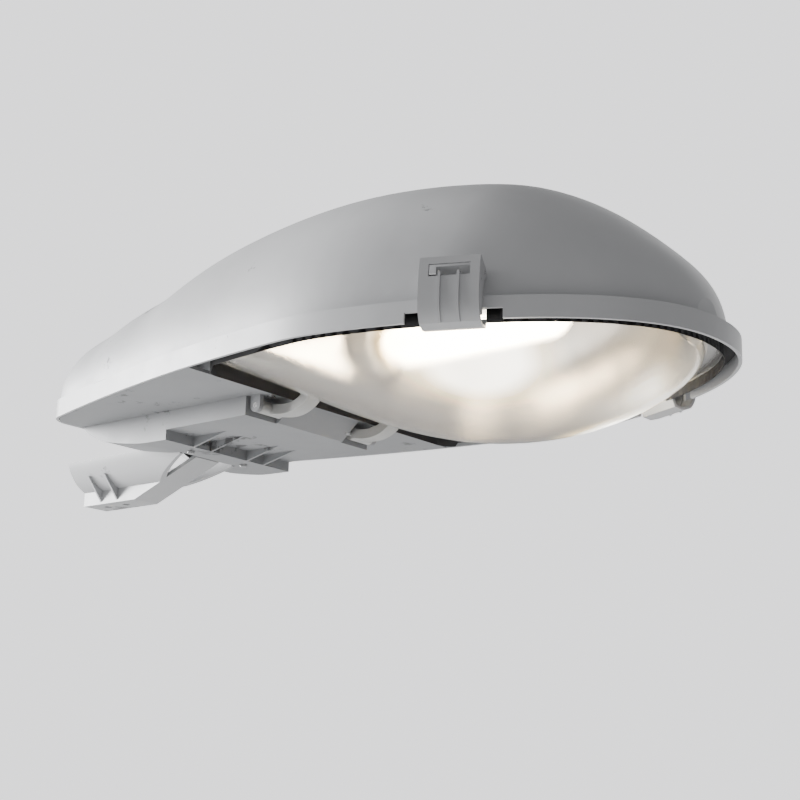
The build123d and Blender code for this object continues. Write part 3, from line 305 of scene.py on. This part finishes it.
bmesh.ops.delete(skirt_mesh, geom=at_clip, context="FACES")
bmesh.ops.remove_doubles(skirt_mesh, verts=skirt_mesh.verts, dist=5e-5)
bmesh.ops.recalc_face_normals(skirt_mesh, faces=skirt_mesh.faces)
skirt_data = bpy.data.meshes.new("shade_skirt")
skirt_mesh.to_mesh(skirt_data)
skirt_mesh.free()
# Painted shade: this near-black sheet stands for the dark, unlit gap between the rim and the bowl.
skirt_data.materials.append(black_rubber_and_shade)
shade_skirt = bpy.data.objects.new("shade_skirt", skirt_data)
bpy.context.scene.collection.objects.link(shade_skirt)
wall = shade_skirt.modifiers.new("wall", "SOLIDIFY")
wall.thickness = SKIRT_THICKNESS
wall.offset = 0.0
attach(shade_skirt, "root")

# ---------------------------------------------------------------- reflector
# Spun and pressed from thin bright aluminium, with soft ripples from the press.
# Its flange is clamped between the frame and the canopy.
reflector_metal, tree, shader, coords = blank_material("reflector_metal")
dull_patch = (0.76, 0.71, 0.63)
bright_patch = (0.92, 0.89, 0.84)
warm = ramp_between(tree, noise_at(tree, coords, 16.0, 3.0), 0.25, 0.75, dull_patch, bright_patch)
tree.links.new(warm, shader.inputs["Base Color"])
tree.links.new(spread(tree, noise_at(tree, coords, 12.0), 0.18, 0.30), shader.inputs["Roughness"])
shader.inputs["Metallic"].default_value = 1.0
bumped(tree, shader, noise_at(tree, coords, 28.0, 4.0), 0.35, 0.003)
dress(reflector_metal, "reflector")

# ---------------------------------------------------------------- lamp
# Porcelain holder, plated cap, clear tube and a glowing ceramic arc tube.
dress(moulded("porcelain", (0.84, 0.82, 0.77), 0.22, 300.0, 0.08), "lamp_holder")
dress(plain_metal("cap_metal", (0.72, 0.58, 0.32), 0.3), "lamp_cap")
lamp_clear, tree, shader, coords = blank_material("lamp_clear")
shader.inputs["Base Color"].default_value = (1.0, 0.98, 0.94, 1.0)
shader.inputs["Transmission Weight"].default_value = 0.6
shader.inputs["IOR"].default_value = 1.45
shader.inputs["Emission Color"].default_value = (1.0, 0.88, 0.70, 1.0)
shader.inputs["Emission Strength"].default_value = 8.0
tree.links.new(spread(tree, noise_at(tree, coords, 30.0), 0.03, 0.12), shader.inputs["Roughness"])
dress(lamp_clear, "lamp_glass")
arc_glow, tree, shader, coords = blank_material("arc_glow")
tree.links.new(
    ramp_between(tree, noise_at(tree, coords, 60.0), 0.2, 0.8, (1.0, 0.72, 0.40), (1.0, 0.82, 0.56)),
    shader.inputs["Emission Color"],
)
shader.inputs["Emission Strength"].default_value = 260.0
dress(arc_glow, "arc_tube")

# ---------------------------------------------------------------- bowl
# Clear moulded bowl with fine prisms inside that spread the light.
# It hangs from two straps and is pulled against the seal by the clips.
bowl_clear, tree, shader, coords = blank_material("bowl_clear")
shader.inputs["Base Color"].default_value = (0.97, 0.96, 0.94, 1.0)
shader.inputs["Transmission Weight"].default_value = 0.93
shader.inputs["IOR"].default_value = 1.3
tree.links.new(spread(tree, noise_at(tree, coords, 40.0), 0.03, 0.07), shader.inputs["Roughness"])
bumped(tree, shader, noise_at(tree, coords, 1500.0, 1.0), 0.25, 0.0002)
# Stand-in for the lamp's glare in the prisms: both flanks give off light of their own.
# It belongs to the bowl, so it stays lit when the bowl is swung down and away from the lamp.
GLOW_PLACE = (0.533, 0.108, -0.004)
GLOW_REACH = 0.078
GLOW_CORE = 0.012
GLOW_STRENGTH = 2.2
sides = tree.nodes.new("ShaderNodeSeparateXYZ")
tree.links.new(coords, sides.inputs["Vector"])
either_side = tree.nodes.new("ShaderNodeMath")
either_side.operation = "ABSOLUTE"
tree.links.new(sides.outputs["Y"], either_side.inputs[0])
folded = tree.nodes.new("ShaderNodeCombineXYZ")
tree.links.new(sides.outputs["X"], folded.inputs["X"])
tree.links.new(either_side.outputs[0], folded.inputs["Y"])
tree.links.new(sides.outputs["Z"], folded.inputs["Z"])
away = tree.nodes.new("ShaderNodeVectorMath")
away.operation = "DISTANCE"
away.inputs[1].default_value = GLOW_PLACE
tree.links.new(folded.outputs["Vector"], away.inputs[0])
glow_fade = tree.nodes.new("ShaderNodeMapRange")
glow_fade.interpolation_type = "SMOOTHSTEP"
glow_fade.inputs["From Min"].default_value = GLOW_REACH
glow_fade.inputs["From Max"].default_value = GLOW_CORE
tree.links.new(away.outputs["Value"], glow_fade.inputs["Value"])
glow_ramp = tree.nodes.new("ShaderNodeValToRGB")
glow_ramp.color_ramp.elements[0].position = 0.0
glow_ramp.color_ramp.elements[0].color = (0.0, 0.0, 0.0, 1.0)
glow_ramp.color_ramp.elements[1].position = 0.75
glow_ramp.color_ramp.elements[1].color = (1.0, 0.96, 0.86, 1.0)
warm_edge = glow_ramp.color_ramp.elements.new(0.35)
warm_edge.color = (0.26, 0.20, 0.10, 1.0)
tree.links.new(glow_fade.outputs["Result"], glow_ramp.inputs["Fac"])
tree.links.new(glow_ramp.outputs["Color"], shader.inputs["Emission Color"])
shader.inputs["Emission Strength"].default_value = GLOW_STRENGTH
dress(bowl_clear, "bowl")

# ---------------------------------------------------------------- hinge straps
# Pressed steel straps, painted light grey, fixed to the bowl's rear.
# Each ends in a barrel that turns on a pin in the rear cover.
strap_steel = plain_metal("strap_steel", (0.46, 0.46, 0.45), 0.45, 500.0, 0.5)
dress(strap_steel, "hinge_strap_near", "hinge_strap_far")

# ---------------------------------------------------------------- clips
# Coated spring clips that turn on pins in the canopy and pull the bowl up.
clip_coating = coated_casting("clip_coating", 0.37, (1.0, 1.01, 1.03), 0.6)
dress(clip_coating, "clip_near", "clip_far")
dress(plain_metal("spring_steel", (0.5, 0.5, 0.5), 0.35), "clip_spring_near", "clip_spring_far")

# ---------------------------------------------------------------- control gear
# Ballast, capacitor and ignitor on the tray behind the bulkhead, with terminals for the supply.
dress(plain_metal("core_steel", (0.13, 0.13, 0.14), 0.5, 500.0, 0.7), "ballast_core")
dress(moulded("coil_varnish", (0.30, 0.13, 0.05), 0.3), "ballast_coil")
dress(plain_metal("can_aluminium", (0.66, 0.67, 0.68), 0.3), "capacitor")
dress(moulded("ignitor_case", (0.72, 0.72, 0.70), 0.45), "ignitor")
dress(moulded("terminal_plastic", (0.80, 0.79, 0.74), 0.4), "terminal_block")
dress(moulded("clamp_plastic", (0.05, 0.05, 0.055), 0.5), "cable_clamp")
dress(plain_metal("screw_brass", (0.76, 0.60, 0.28), 0.3), "earth_screw")
